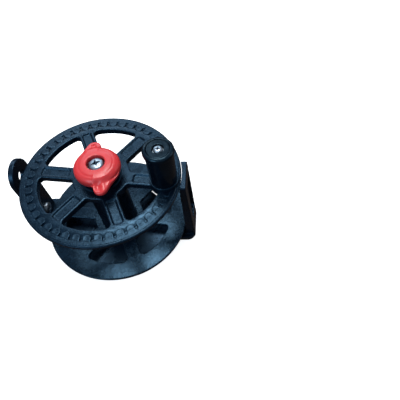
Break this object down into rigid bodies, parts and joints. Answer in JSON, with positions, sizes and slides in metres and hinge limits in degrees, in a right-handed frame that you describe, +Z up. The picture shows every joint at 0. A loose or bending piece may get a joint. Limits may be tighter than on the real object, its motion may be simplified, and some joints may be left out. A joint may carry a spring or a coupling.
{
  "type": "line reel",
  "caption": "Hand-wound line reel: a spoked crank wheel and drum on a spindle, with a drag knob, a side mounting wall and a guide arm with an eye.",
  "frame": {"origin": "on the spindle's axis at the underside of the base, which the reel stands on", "axes": "+Z up along the spindle, towards the drag knob; +X towards the side mounting wall; the guide arm stands near -X"},
  "size_m": [0.117, 0.096, 0.0887],
  "materials": {
    "black_plastic": "semi-gloss moulded",
    "black_wheel": "semi-gloss moulded",
    "red_plastic": "glossy moulded",
    "grip_plastic": "glossy moulded",
    "zinc_steel": "bright zinc plated",
    "spindle_steel": "turned",
    "spring_steel": "hardened, oiled",
    "bronze": "sintered bronze",
    "insert_brass": "turned brass",
    "felt": "pressed felt"
  },
  "bodies": {
    "frame": {"frame": "black_plastic", "guide_arm": "black_plastic", "guide_arm_screw": "zinc_steel", "guide_arm_nut": "zinc_steel", "spindle": "spindle_steel", "spindle_washer": "zinc_steel", "spindle_nut": "zinc_steel", "pressure_washer": "spindle_steel", "drag_springs": "spring_steel", "knob_screw": "zinc_steel", "knob_screw_washer": "zinc_steel"},
    "spool": {"lower_flange": "black_wheel", "drum": "black_plastic", "crank_wheel": "black_wheel", "flange_screws": "zinc_steel", "wheel_screws": "zinc_steel", "lower_bush": "bronze", "upper_bush": "bronze", "friction_washer": "felt", "grip_bush": "grip_plastic", "grip_screw": "zinc_steel", "grip_washer": "zinc_steel", "grip_nut": "zinc_steel"},
    "grip": {"grip": "grip_plastic"},
    "knob": {"drag_knob": "red_plastic", "knob_insert": "insert_brass"}
  },
  "joints": [
    {"name": "spool_spin", "type": "hinge", "parent": "frame", "child": "spool", "pos_m": [0, 0, 0.035], "axis": [0, 0, 1], "continuous": true},
    {"name": "grip_spin", "type": "hinge", "parent": "spool", "child": "grip", "pos_m": [0.03832, -0.00369, 0.076], "axis": [0, 0, 1], "continuous": true},
    {"name": "knob_turn", "type": "hinge", "parent": "frame", "child": "knob", "pos_m": [0, 0, 0.066], "axis": [0, 0, 1], "range_deg": [-45, 120]}
  ]
}
